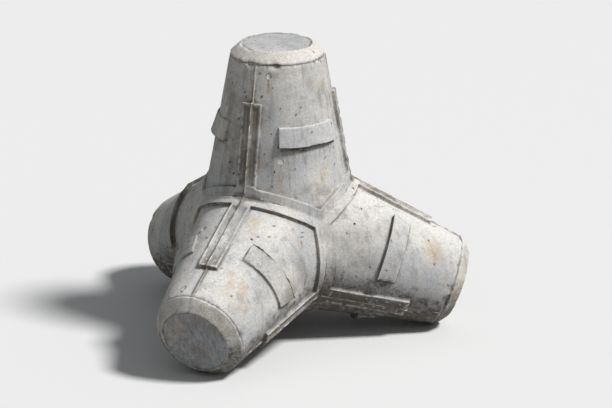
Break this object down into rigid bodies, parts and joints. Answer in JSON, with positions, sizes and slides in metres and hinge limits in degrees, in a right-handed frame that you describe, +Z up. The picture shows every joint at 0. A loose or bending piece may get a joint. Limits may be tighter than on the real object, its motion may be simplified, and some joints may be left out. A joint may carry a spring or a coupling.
{
  "type": "concrete tetrapod",
  "caption": "Cast concrete tetrapod for sea defences: four tapered legs at equal angles with flat tips, raised mould-joint strips, crease bands and stop pads, standing on three legs",
  "frame": {"origin": "the point where the four leg axes meet, which is the centre of mass", "axes": "+Z runs up along the upright leg; +Y lies over one of the three lower legs; +X to the right of it"},
  "size_m": [2.8961, 2.6106, 2.4197],
  "materials": {
    "concrete": "weathered cast concrete, matt, stained by rain, rust and sea growth"
  },
  "bodies": {
    "root": {"tetrapod": "concrete"}
  },
  "joints": []
}
